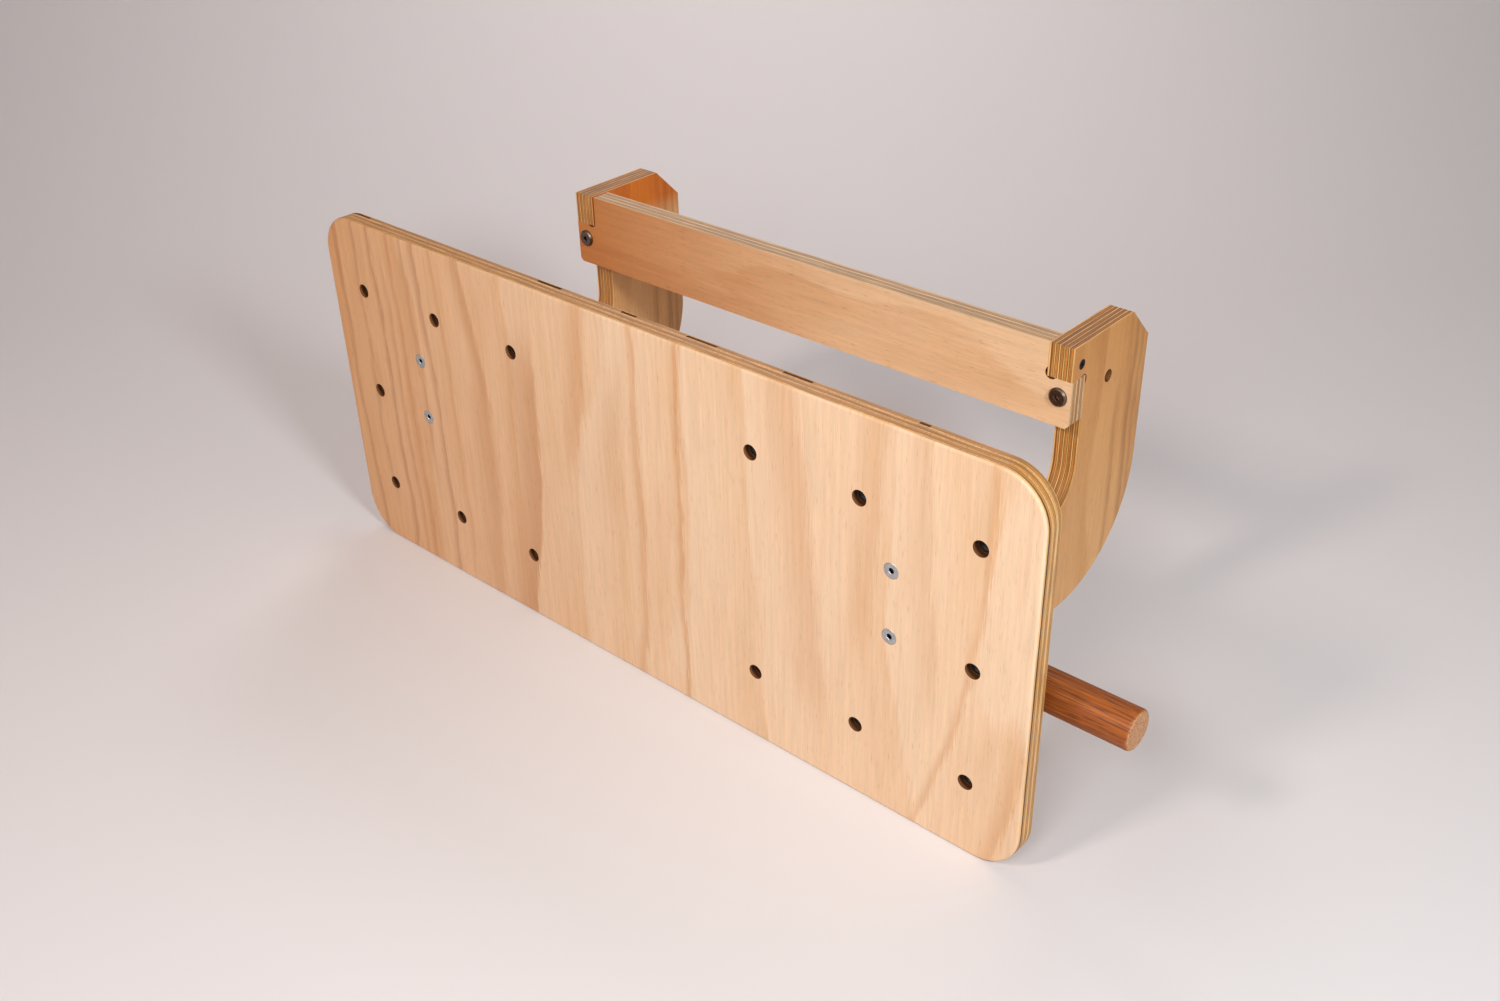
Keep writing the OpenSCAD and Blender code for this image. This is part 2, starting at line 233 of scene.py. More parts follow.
def plywood(name, axes, low, high, plies, cross_share, colours, ring_w, side_tint, streaks=(), shown_ply=0):
    """Lacquered pine plywood as one solid pattern: veneers with alternating grain, and a figured face veneer.

    axes names the directions across the face grain, through the sheet and along the face grain. Every other
    veneer has its grain across the sheet, and these take up cross_share of its thickness. A tint is multiplied
    into the face veneer shown_ply towards one side: side_tint is an axis, the places on it where the tint is
    full and where it ends, and the tint. Streaks are late-wood bands of that veneer, in millimetres: their
    places at the top, middle and bottom, their soft and sharp widths, how far down they start and end,
    then their strength and the name of their colour.
    """
    material, tree, shader = blank(name)
    coords = add(tree, "TexCoord")
    spot = add(tree, "SeparateXYZ", {0: coords.outputs["Object"]})
    facing = add(tree, "SeparateXYZ", {0: coords.outputs["Normal"]})
    order = ["XYZ".index(axis) for axis in axes]
    across, through, along = (spot.outputs[i] for i in order)
    face_across, face_through, face_along = (facing.outputs[i] for i in order)
    across_low, through_low, along_low = (low[i] for i in order)
    through_high, along_high = (high[i] for i in order[1:])

    # Which veneer a point lies in, with glue lines that waver a little, as shares of a veneer's thickness
    waver_l, waver_depth, outermost = 50 * MM, 0.18, 0.12
    glue_w, glue_fade = 0.03, 0.16
    waver = add(tree, "TexNoise", {"Vector": coords.outputs["Object"], "Scale": 1 / waver_l})
    depth = add(tree, "MapRange", {"Value": through, "From Min": through_low, "From Max": through_high,
                                   "To Min": -waver_depth / 2, "To Max": plies - waver_depth / 2})
    depth = add(tree, "Math", {0: waver, 1: waver_depth, 2: depth}, operation="MULTIPLY_ADD")
    depth = add(tree, "Clamp", {"Value": depth, "Min": outermost, "Max": plies - outermost})
    ply = add(tree, "Math", {0: depth}, operation="FLOOR")
    core = add(tree, "Clamp", {"Value": depth, "Min": 0.5, "Max": plies - 0.5})
    core = add(tree, "Math", {0: core, 1: 0.5}, operation="SUBTRACT")
    core = add(tree, "Math", {0: core, 1: 1}, operation="PINGPONG")
    odd = add(tree, "Math", {0: core, 1: 1 - cross_share}, operation="GREATER_THAN")
    glue = add(tree, "Math", {0: core, 1: 1 - cross_share}, operation="SUBTRACT")
    glue = add(tree, "Math", {0: glue}, operation="ABSOLUTE")
    glue = add(tree, "MapRange", {"Value": glue, "From Min": glue_w, "From Max": glue_fade,
                                  "To Min": 1, "To Max": 0})

    # Fibres, along one veneer and across the next, drawn coarser than real ones so that they show
    fibre_w, fibre_l, check_l = 0.8 * MM, 24 * MM, 2.5 * MM
    scale_across = add(tree, "MapRange", {"Value": odd, "To Min": 1 / fibre_w, "To Max": 1 / fibre_l})
    scale_along = add(tree, "MapRange", {"Value": odd, "To Min": 1 / fibre_l, "To Max": 1 / fibre_w})
    fibre_at = add(tree, "CombineXYZ", {
        0: add(tree, "Math", {0: across, 1: scale_across}, operation="MULTIPLY"),
        1: add(tree, "Math", {0: through, 1: 1 / check_l, 2: ply}, operation="MULTIPLY_ADD"),
        2: add(tree, "Math", {0: along, 1: scale_along}, operation="MULTIPLY")})
    fibre = add(tree, "TexNoise", {"Vector": fibre_at, "Scale": 1, "Detail": 3, "Roughness": 0.6})

    # Edge of the sheet: pale veneers with the face grain, brown ones across it, hatched where the grain ends
    ply_tone = add(tree, "TexWhiteNoise", {"W": ply}, noise_dimensions="1D")
    edge_light, edge_dark = (
        add(tree, "Mix", {0: ply_tone, 6: linear(colours[tint]), 7: linear(colours[tint + "_2"])},
            data_type="RGBA") for tint in ("light_ply", "dark_ply"))
    ends_along = add(tree, "Math", {0: face_along}, operation="ABSOLUTE")
    ends_across = add(tree, "Math", {0: face_across}, operation="ABSOLUTE")
    edge_dark = add(tree, "Mix", {0: ends_across, 6: edge_dark.outputs[2], 7: linear(colours["cross_end"])},
                    data_type="RGBA")
    edge = add(tree, "Mix", {0: odd, 6: edge_light.outputs[2], 7: edge_dark.outputs[2]}, data_type="RGBA")
    end_grain = add(tree, "Mix", {0: odd, 2: ends_along, 3: ends_across})
    hatch = add(tree, "MapRange", {"Value": fibre, "From Min": 0.35, "From Max": 0.65})
    hatch = add(tree, "Math", {0: hatch, 1: end_grain}, operation="MULTIPLY")
    edge = add(tree, "Mix", {0: hatch, 6: edge.outputs[2], 7: linear(colours["end_grain"])},
               data_type="RGBA", blend_type="MULTIPLY")

    # Growth rings that show as fine lines along the edge, glue lines, and one dark seam behind a face veneer
    layer_l, layer_t = 40 * MM, 1 * MM
    seam_at, seam_w = 1.1, 0.26
    layer_at = add(tree, "CombineXYZ", {
        0: add(tree, "Math", {0: across, 1: 1 / layer_l}, operation="MULTIPLY"),
        1: add(tree, "Math", {0: through, 1: 1 / layer_t}, operation="MULTIPLY"),
        2: add(tree, "Math", {0: along, 1: 1 / layer_l}, operation="MULTIPLY")})
    layer = add(tree, "TexNoise", {"Vector": layer_at, "Scale": 1, "Detail": 3, "Roughness": 0.7})
    layer = add(tree, "MapRange", {"Value": layer, "From Min": 0.35, "From Max": 0.65,
                                   "To Min": 0.58, "To Max": 1.32})
    edge = add(tree, "VectorMath", {0: edge.outputs[2], "Scale": layer}, operation="SCALE")
    edge = add(tree, "Mix", {0: glue, 6: edge, 7: linear(colours["glue"])}, data_type="RGBA")
    seam = add(tree, "Math", {0: depth, 1: seam_at, 2: seam_w}, operation="COMPARE")
    seam = add(tree, "Math", {0: seam, 1: ends_across}, operation="MULTIPLY")
    edge = add(tree, "Mix", {0: seam, 6: edge.outputs[2], 7: linear(colours["seam"])}, data_type="RGBA")

    # Patterns of the face veneers, drawn out along the grain: width and length in mm, detail, roughness
    patterns = {"ring": (90, 420, 2, 0.45), "cloud": (35, 160, 6, 0.65), "fleck": (1, 11, 1, 0.5),
                "line": (3.5, 90, 2, 0.6)}
    figure_step = 3.7
    figure_of_ply = add(tree, "Math", {0: ply, 1: figure_step}, operation="MULTIPLY")
    noise = {}
    for pattern, (width, length, detail, roughness) in patterns.items():
        pattern_at = add(tree, "CombineXYZ", {
            0: add(tree, "Math", {0: across, 1: 1 / (width * MM)}, operation="MULTIPLY"),
            1: figure_of_ply,
            2: add(tree, "Math", {0: along, 1: 1 / (length * MM)}, operation="MULTIPLY")})
        noise[pattern] = add(tree, "TexNoise", {"Vector": pattern_at, "Scale": 1, "Detail": detail,
                                                "Roughness": roughness})

    # Growth rings of the face as the contours of the widest pattern, pale at first and brown at their end
    ring_slope, ring_swing, ring_fray = 0.35, 90 * MM, 0.12
    rings = add(tree, "Math", {0: across, 1: ring_slope / ring_w, 2: figure_of_ply}, operation="MULTIPLY_ADD")
    rings = add(tree, "Math", {0: noise["ring"], 1: ring_swing / ring_w, 2: rings}, operation="MULTIPLY_ADD")
    rings = add(tree, "Math", {0: fibre, 1: ring_fray, 2: rings}, operation="MULTIPLY_ADD")
    rings = add(tree, "Math", {0: rings}, operation="FRACT")
    face = add(tree, "ValToRGB", {"Fac": rings}, stops=[
        (0.0, colours["early"]), (0.45, colours["middle"]), (0.8, colours["late"]), (0.93, colours["late"]),
        (1.0, colours["early"])])
    fade = add(tree, "MapRange", {"Value": noise["cloud"], "From Min": 0.35, "From Max": 0.7,
                                  "To Min": 0.15, "To Max": 0.65})
    face = add(tree, "Mix", {0: fade, 6: linear(colours["early"]), 7: face}, data_type="RGBA")

    # Streaks of the shown face veneer, drawn one by one along its grain, with frayed and wandering sides
    shown = add(tree, "Math", {0: ply, 1: shown_ply, 2: 0.5}, operation="COMPARE")
    if streaks:
        drift_w, fray_w, end_fade = 22 * MM, 12 * MM, 0.12
        drifts_per_metre = (14, 1, 7)
        height = along_high - along_low
        start = across_low + (drift_w + fray_w) / 2
        down = add(tree, "MapRange", {"Value": along, "From Min": along_high, "From Max": along_low})
        drift_at = add(tree, "VectorMath", {0: coords.outputs["Object"], 1: drifts_per_metre},
                       operation="MULTIPLY")
        drift = add(tree, "TexNoise", {"Vector": drift_at, "Scale": 1, "Detail": 4, "Roughness": 0.5})
        drifted = add(tree, "Math", {0: drift, 1: drift_w, 2: across}, operation="MULTIPLY_ADD")
        drifted = add(tree, "Math", {0: fibre, 1: fray_w, 2: drifted}, operation="MULTIPLY_ADD")
        for top, middle, bottom, soft, sharp, begins, ends, strength, colour in streaks:
            bend = (2 * top - 4 * middle + 2 * bottom) * MM
            lean = (4 * middle - 3 * top - bottom) * MM
            path = add(tree, "Math", {0: down, 1: bend, 2: lean}, operation="MULTIPLY_ADD")
            path = add(tree, "Math", {0: path, 1: down, 2: start + top * MM}, operation="MULTIPLY_ADD")
            off = add(tree, "Math", {0: drifted, 1: path}, operation="SUBTRACT")
            rise = add(tree, "MapRange", {"Value": off, "From Min": -soft * MM, "From Max": 0},
                       interpolation_type="SMOOTHSTEP")
            fall = add(tree, "MapRange", {"Value": off, "From Min": 0, "From Max": sharp * MM,
                                          "To Min": 1, "To Max": 0}, interpolation_type="SMOOTHSTEP")
            body = add(tree, "Math", {0: rise, 1: fall}, operation="MULTIPLY")
            for at, above, below in ((begins * MM / height, 0, strength), (ends * MM / height, 1, 0)):
                share = add(tree, "MapRange", {
                    "Value": down, "From Min": at - end_fade, "From Max": at + end_fade,
                    "To Min": above, "To Max": below}, interpolation_type="SMOOTHSTEP")
                body = add(tree, "Math", {0: body, 1: share}, operation="MULTIPLY")
            body = add(tree, "Math", {0: body, 1: shown}, operation="MULTIPLY")
            face = add(tree, "Mix", {0: body, 6: face.outputs[2], 7: linear(colours[colour])},
                       data_type="RGBA")

    # Resin flecks, dark dashes drawn 1 mm wide so that they show, faint lines and the tint towards one side
    fleck = add(tree, "MapRange", {"Value": noise["fleck"], "From Min": 0.62, "From Max": 0.78,
                                   "To Max": 0.45})
    face = add(tree, "Mix", {0: fleck, 6: face.outputs[2], 7: linear(colours["fleck"])},
               data_type="RGBA", blend_type="MULTIPLY")
    tone = add(tree, "Math", {0: noise["line"], 1: fibre}, operation="ADD")
    tone = add(tree, "MapRange", {"Value": tone, "From Min": 0.7, "From Max": 1.3,
                                  "To Min": 0.9, "To Max": 1.06})
    face = add(tree, "VectorMath", {0: face.outputs[2], "Scale": tone}, operation="SCALE")
    tint_axis, tint_full_at, tint_gone_at, tint_colour = side_tint
    tint_share = add(tree, "MapRange", {"Value": spot.outputs["XYZ".index(tint_axis)], "From Min": tint_full_at,
                                   "From Max": tint_gone_at, "To Min": 1, "To Max": 0})
    tint_share = add(tree, "Math", {0: tint_share, 1: shown}, operation="MULTIPLY")
    face = add(tree, "Mix", {0: tint_share, 6: face, 7: linear(tint_colour)},
               data_type="RGBA", blend_type="MULTIPLY")

    # The face veneer shows where the surface faces out of the sheet, and the plies everywhere else
    outward = add(tree, "Math", {0: face_through}, operation="ABSOLUTE")
    outward = add(tree, "MapRange", {"Value": outward, "From Min": 0.3, "From Max": 0.7, "To Min": 0.3})
    inside = add(tree, "Math", {0: depth, 1: plies / 2}, operation="PINGPONG")
    outer = add(tree, "MapRange", {"Value": inside, "From Min": 0.4, "From Max": 0.6,
                                   "To Min": 1, "To Max": 0})
    outward = add(tree, "Math", {0: outward, 1: outer}, operation="MULTIPLY")
    colour = add(tree, "Mix", {0: outward, 6: edge.outputs[2], 7: face.outputs[2]}, data_type="RGBA")
    rough = add(tree, "MapRange", {"Value": fibre, "From Min": 0.3, "From Max": 0.7,
                                   "To Min": 0.42, "To Max": 0.58})
    bump = add(tree, "Bump", {"Height": fibre, "Strength": 0.12, "Distance": 0.3 * MM})
    feed(tree, shader, {"Base Color": colour.outputs[2], "Roughness": rough, "Normal": bump, "IOR": 1.5})
    return material


# Radiata pine: pale peach early wood with tan bands, satin lacquer that leaves a soft sheen
board_colours = {
    "early": "#F2D0AC", "middle": "#EDC296", "late": "#E2AF7A", "fleck": "#D6B08A",
    "band": "#CF9A6A", "line": "#D3965F", "red": "#BE8660",
    "light_ply": "#E3B478", "light_ply_2": "#DAA766", "dark_ply": "#C0884A", "dark_ply_2": "#B0763A",
    "cross_end": "#CE9A58", "end_grain": "#E6CAA4", "glue": "#93632F", "seam": "#4E2E14"}
board_streaks = [
    (14, 18, 20, 7, 3, -40, 400, 0.45, "red"),
    (38, 43, 42, 6, 3, -40, 260, 0.35, "red"),
    (60, 67, 64, 6, 3, -40, 400, 0.55, "red"),
    (76, 80, 80, 5, 3, 40, 400, 0.35, "red"),
    (90, 94, 92, 8, 4, -40, 400, 0.45, "line"),
    (108, 112, 110, 5, 3, -40, 220, 0.35, "red"),
    (121, 128, 126, 7, 3, -40, 400, 0.5, "red"),
    (147, 151, 150, 6, 4, -40, 300, 0.35, "line"),
    (182, 205, 232, 16, 5, -40, 130, 0.6, "band"),
    (255, 253, 232, 46, 4, 60, 400, 0.75, "band"),
    (190, 194, 186, 30, 10, 110, 400, 0.45, "band"),
    (318, 300, 286, 24, 8, -40, 130, 0.5, "line"),
    (360, 345, 335, 30, 16, 45, 170, 0.35, "band"),
    (372, 372, 362, 10, 5, -40, 400, 0.5, "line"),
    (418, 414, 413, 6, 3, -40, 400, 0.6, "line"),
    (520, 535, 548, 34, 14, -40, 260, 0.35, "line"),
    (600, 588, 580, 26, 9, -40, 180, 0.35, "line"),
    (632, 640, 650, 20, 8, -40, 200, 0.3, "band"),
    (680, 674, 636, 7, 4, -40, 400, 0.42, "line"),
    (716, 720, 698, 16, 6, 200, 400, 0.5, "line"),
]
board_wood = plywood("radiata_pine_board", "XYZ", board_low, board_high, board_plies, board_cross_share,
                     board_colours, board_ring_w, board_side_tint, board_streaks)

board = begin(bpy.ops.mesh.primitive_cube_add, size=1, location=board_middle, scale=board_size)
pick("EDGE", lambda edge: abs(edge.verts[0].co.y - edge.verts[1].co.y) > board_size.y / 2)
bpy.ops.mesh.bevel(offset=board_corner_r, segments=14, affect="EDGES")
pick("EDGE", lambda edge: abs(edge.verts[0].co.y - edge.verts[1].co.y) < board_size.y / 2)
bpy.ops.mesh.bevel(offset=board_arris_r, segments=6, affect="EDGES")
close()
hold_holes = [bore(hold_hole_r, 2 * board_size.y,
                   (middle_of(name).x, board_low.y - board_size.y / 2, middle_of(name).z), (0, 1, 0))
              for name in tee_nut_names]
countersinks = [turned([(countersink_r, -drill_over), (countersink_r, countersink_rim),
                        (shank_hole_r, countersink_depth), (shank_hole_r, board_size.y + drill_over)],
                       (middle_of(name).x, board_low.y, middle_of(name).z), (0, 1, 0))
                for name in board_bolt_names]
ply_t = board_size.y / board_plies
gap_back = board_low.y + core_gap_ply * ply_t
gap_cutters = [block(((x - length / 2) * MM, gap_back - ply_t, board_high.z - core_gap_depth),
                     ((x + length / 2) * MM, gap_back, board_high.z + core_gap_depth))
               for x, length in core_gaps]
cut(board, joined(hold_holes), joined(countersinks), joined(gap_cutters))
hand_over(board, "board", board_wood, eased=0.35 * MM)

# Pine with painted shade: the drilled walls are burnt brown by the bit and painted darker still as shade,
# and the walls of the gaps in the core are painted dark as the shade in their depth
scorch_and_shade_colours = dict(
    board_colours, early="#8A5B34", middle="#8A5B34", late="#7A4D2A", light_ply="#8A5B34",
    light_ply_2="#7A4D2A", dark_ply="#6B4224", dark_ply_2="#57341B", cross_end="#57341B", glue="#2E1A0C")
scorch_and_shade_wood = plywood("scorched_pine_painted_shade", "XYZ", board_low, board_high, board_plies, board_cross_share,
                        scorch_and_shade_colours, board_ring_w, board_side_tint)


def line_holes(piece, wall_material, axes, places):
    """Paints a piece's hole walls in a second, darker material as painted shade, from their (place, place,
    radius) as seen along them.
    """
    margin = 0.15 * MM
    piece.data.materials.append(wall_material)
    a, b = ("XYZ".index(axis) for axis in axes)
    for face in piece.data.polygons:
        corners = [piece.data.vertices[i].co for i in face.vertices]
        for at_a, at_b, r in places:
            if all(math.hypot(corner[a] - at_a, corner[b] - at_b) < r + margin for corner in corners):
                face.material_index = 1


# Painted shade: the walls of the hold holes and bolt holes are drawn in the darker pine
line_holes(board, scorch_and_shade_wood, "XZ", [(middle_of(name).x, middle_of(name).z, hold_hole_r)
                                        for name in tee_nut_names + board_bolt_names])
# Painted shade: the walls of the core gaps are drawn in the darker pine, for the dark of their depth
for face in board.data.polygons:
    x, y, z = face.center
    in_gap_ply = gap_back - ply_t < y < gap_back and z > board_high.z - core_gap_depth - MM
    if in_gap_ply and abs(face.normal.z) < 0.95:
        if any(abs(x - at * MM) < (length / 2 + core_gap_margin) * MM for at, length in core_gaps):
            face.material_index = 1

# Tee nuts: what the hold bolts screw into, one behind each hole of the board.
# Pressed steel with bright zinc plating: a flange on the board's back, a threaded barrel inside it and four
# prongs punched out of the flange and driven into the wood.
tee_flange_r, tee_flange_t = 12.5 * MM, 1.5 * MM
tee_back_bevel, tee_front_bevel = 0.3 * MM, 0.2 * MM
tee_barrel_r, tee_barrel_l, tee_barrel_bevel = 5.9 * MM, 12 * MM, 0.5 * MM
tee_l = tee_flange_t + tee_barrel_l
tee_mouth_r, tee_mouth_depth, tee_drill_l = 5.4 * MM, 1.1 * MM, 15 * MM
tee_bore_r, tee_thread_r = 4.25 * MM, 4.95 * MM
tee_thread_start, tee_thread_end, tee_thread_pitch = 1.2 * MM, 13.2 * MM, 1.5 * MM
tee_prongs = 4
tee_prong_r, tee_prong_l, tee_prong_root = 10.25 * MM, 7 * MM, 0.5 * MM
tee_prong_t, tee_prong_w, tee_prong_taper = 1.5 * MM, 3 * MM, 0.25


def threaded(core_r, crest_r, start, end, pitch):
    """Rings of a screw thread between two distances."""
    turns = int((end - start) / pitch)
    rings = []
    for turn in range(turns):
        rings += [(core_r, start + turn * pitch), (crest_r, start + (turn + 0.5) * pitch)]
    return rings + [(core_r, start + turns * pitch)]


def copied(piece, shift=(0, 0, 0), turn=(0, 0, 0)):
    """A copy of the piece with a mesh of its own, turned about the origin and moved."""
    take(piece)
    bpy.ops.object.duplicate(linked=False)
    made = bpy.context.object
    made.rotation_euler = turn
    made.location = shift
    fix_place()
    return made


def metal(name, colour, worn, mottle, rough_low, rough_high):
    """Plated steel: a colour that shifts in small clouds, and a grit drawn coarser than real to show."""
    grit_w = 0.25 * MM
    material, tree, shader = blank(name)
    coords = add(tree, "TexCoord")
    cloud = add(tree, "TexNoise", {"Vector": coords.outputs["Object"], "Scale": 1 / mottle, "Detail": 3})
    tint = add(tree, "ValToRGB", {"Fac": cloud}, stops=[(0.35, colour), (0.7, worn)])
    grit = add(tree, "TexNoise", {"Vector": coords.outputs["Object"], "Scale": 1 / grit_w})
    rough = add(tree, "MapRange", {"Value": cloud, "From Min": 0.3, "From Max": 0.7,
                                   "To Min": rough_low, "To Max": rough_high})
    bump = add(tree, "Bump", {"Height": grit, "Strength": 0.1, "Distance": 0.03 * MM})
    feed(tree, shader, {"Base Color": tint, "Roughness": rough, "Normal": bump, "Metallic": 1})
    return material


# Bright zinc plating, slightly blue and softly dull
zinc_plate = metal("zinc_plated_steel", "#C3C6C9", "#A9ADB2", 2 * MM, 0.3, 0.45)
# Painted shade in the tee nuts' bores: their zinc drawn as a matt dark grey
bore_shade_zinc = metal("zinc_steel_painted_bore_shade", "#484745", "#353432", 2 * MM, 0.55, 0.7)
# Black zinc of the barrel nuts, dark grey with a low sheen, also painted shade in the board bolts' sockets
black_zinc_and_socket_shade = metal("black_zinc_steel_socket_shade", "#3C3D40", "#2C2D30", 2 * MM, 0.45, 0.6)

tee_nut = turned([(tee_flange_r - tee_back_bevel, 0), (tee_flange_r, tee_back_bevel),
                  (tee_flange_r, tee_flange_t - tee_front_bevel),
                  (tee_flange_r - tee_front_bevel, tee_flange_t),
                  (tee_barrel_r, tee_flange_t), (tee_barrel_r, tee_l - tee_barrel_bevel),
                  (tee_barrel_r - tee_barrel_bevel, tee_l)], direction=(0, -1, 0))
for prong_number in range(tee_prongs):
    angle = math.radians(45 + 360 / tee_prongs * prong_number)
    prong = begin(bpy.ops.mesh.primitive_cube_add, size=1,
                  scale=(tee_prong_t, tee_prong_w, tee_prong_l + tee_prong_root),
                  location=(0, 0, tee_flange_t + (tee_prong_l - tee_prong_root) / 2))
    pick("FACE", lambda face: face.normal.z > 0.5)
    bpy.ops.transform.resize(value=(1, tee_prong_taper, 1))
    close()
    prong.rotation_euler = (math.radians(90), angle, 0)
    prong.location = (tee_prong_r * math.cos(angle), 0, -tee_prong_r * math.sin(angle))
    fix_place()
    cut(tee_nut, prong, operation="UNION")
cut(tee_nut, turned([(tee_mouth_r, -drill_over), (tee_mouth_r, 0), (tee_bore_r, tee_mouth_depth)]
                    + threaded(tee_bore_r, tee_thread_r, tee_thread_start, tee_thread_end, tee_thread_pitch)
                    + [(tee_bore_r, tee_drill_l)], direction=(0, -1, 0)))
for name in tee_nut_names:
    place = middle_of(name)
    nut = copied(tee_nut, (place.x, board_high.y + tee_flange_t, place.z))
    hand_over(nut, name, zinc_plate, sharp_angle=35)
    # Painted shade: the bore of each tee nut is drawn in the dark zinc
    line_holes(nut, bore_shade_zinc, "XZ", [(place.x, place.z, tee_barrel_r)])
bpy.data.objects.remove(tee_nut)

# Brackets: the two J-shaped arms that carry the board, reach under the door head and hook behind the wall.
# Eleven-ply pine plywood, lacquered: sawn in one outline with a router, which leaves a round relief in the
# corner of the notch, then drilled for the bar, the bolts, their barrel nuts and the screws.
bracket_low, bracket_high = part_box("right_bracket")
bracket_t = bracket_high.x - bracket_low.x
bracket_middle_x = (bracket_low.x + bracket_high.x) / 2
bracket_plies = 11
bracket_cross_share = 0.68
bracket_ring_w = 26 * MM
leg_back_y = -141 * MM
leg_top_z = 4.5 * MM
throat_z = -76 * MM
nose_front_y, arm_front_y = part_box("crossbar")[0].y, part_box("crossbar")[1].y
notch_z = 38 * MM
relief_r, relief_set = 5 * MM, 3.2 * MM
bend_outer_r, bend_inner_r, leg_corner_r, top_chamfer = 95 * MM, 40 * MM, 12 * MM, 27 * MM
bar_middle = middle_of("bar")
bar_r = (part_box("bar")[1].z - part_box("bar")[0].z) / 2
fit_gap = 0.1 * MM
nut_hole_r = 5.1 * MM
shank_hole_past_nut = 10 * MM
screw_head_r, screw_head_rim, screw_head_l, screw_r = 4 * MM, 0.3 * MM, 2.3 * MM, 2 * MM
end_screw_hole_l, bar_screw_hole_l = 30 * MM, 45 * MM


def near(a, b):
    """Whether two lengths are the same to a hundredth of a millimetre."""
    return abs(a - b) < 0.01 * MM


def pick_edges(test):
    """Selects the edges of the mesh in hand whose ends both pass a test on their place."""
    pick("EDGE", lambda edge: all(test(vert.co) for vert in edge.verts))


def one_outline():
    """Merges a flat outline's faces into one."""
    bpy.ops.mesh.select_all(action="SELECT")
    bpy.ops.mesh.remove_doubles(threshold=0.01 * MM)
    bpy.ops.mesh.dissolve_limited(angle_limit=math.radians(1))


def round_corner(axis_1, axis_2, at, r, segments):
    """Rounds or bevels one corner of a flat outline, found by its two coordinates."""
    pick("VERT", lambda vert: near(vert.co[axis_1], at[0]) and near(vert.co[axis_2], at[1]))
    bpy.ops.mesh.bevel(offset=r, segments=segments, affect="VERTICES")


# Pine plywood of the brackets: golden tan faces, edges striped pale and dark brown
bracket_colours = {
    "early": "#EDB577", "middle": "#E2A461", "late": "#CA853F", "fleck": "#B08050",
    "light_ply": "#F4CA86", "light_ply_2": "#EBBC74", "dark_ply": "#B47434", "dark_ply_2": "#945822",
    "cross_end": "#CA8E48", "end_grain": "#F2E2CA", "glue": "#643C1C", "seam": "#8A5628", "line": "#A8703A"}
bracket_streaks = [
    (272, 272, 270, 9, 4, -40, 400, 0.6, "line"),
    (281, 281, 280, 7, 3, -40, 300, 0.5, "line"),
    (290, 291, 290, 10, 4, -40, 400, 0.45, "line"),
    (254, 253, 250, 7, 4, 60, 400, 0.4, "line"),
]
# The right bracket's face is tinted darker towards its top, the left one's orange at the top of its inner face
bracket_side_tint = {"right_bracket": ("Z", 60 * MM, -150 * MM, "#E4D4B4"),
                 "left_bracket": ("Z", 42 * MM, 22 * MM, "#F0AC34")}

right_bracket = begin(
    bpy.ops.mesh.primitive_plane_add, size=1, rotation=(0, math.radians(90), 0),
    location=(bracket_low.x, (bracket_low.y + leg_back_y) / 2, (bracket_low.z + throat_z) / 2),
    scale=(throat_z - bracket_low.z, leg_back_y - bracket_low.y, 1))
pick_edges(lambda at: near(at.y, leg_back_y))
extrude(0, arm_front_y - leg_back_y, 0)
extrude(0, bracket_high.y - arm_front_y, 0)
pick_edges(lambda at: near(at.z, throat_z) and at.y < leg_back_y + MM)
extrude(0, 0, leg_top_z - throat_z)
pick_edges(lambda at: near(at.z, throat_z) and at.y > arm_front_y - MM)
extrude(0, 0, notch_z - throat_z)
extrude(0, 0, bracket_high.z - notch_z)
pick_edges(lambda at: near(at.y, arm_front_y) and at.z > notch_z - MM)
extrude(0, nose_front_y - arm_front_y, 0)
one_outline()
round_corner(1, 2, (leg_back_y, leg_top_z), leg_corner_r, 8)
round_corner(1, 2, (leg_back_y, throat_z), bend_inner_r, 16)
round_corner(1, 2, (arm_front_y, throat_z), bend_inner_r, 16)
round_corner(1, 2, (bracket_high.y, bracket_low.z), bend_outer_r, 28)
round_corner(1, 2, (bracket_high.y, bracket_high.z), top_chamfer, 1)
bpy.ops.mesh.select_all(action="SELECT")
extrude(bracket_t, 0, 0)
close()


def through_bracket(y, z, r):
    """A round hole through the right bracket from side to side."""
    return bore(r, 2 * bracket_t, (bracket_low.x - bracket_t / 2, y, z), (1, 0, 0), sides=64)


def shank_hole(y, z, length):
    """A bolt's hole into the right bracket from the front."""
    return turned([(shank_hole_r, -drill_over), (shank_hole_r, length)], (bracket_middle_x, y, z), (0, 1, 0))


def screw_hole(place, direction, length):
    """A countersunk hole for a 4 mm wood screw, open past its head."""
    head_hole_r, hole_r = screw_head_r + fit_gap, screw_r + fit_gap
    return turned([(head_hole_r, -drill_over), (head_hole_r, screw_head_rim), (hole_r, screw_head_l),
                   (hole_r, length)], place, direction, sides=32)


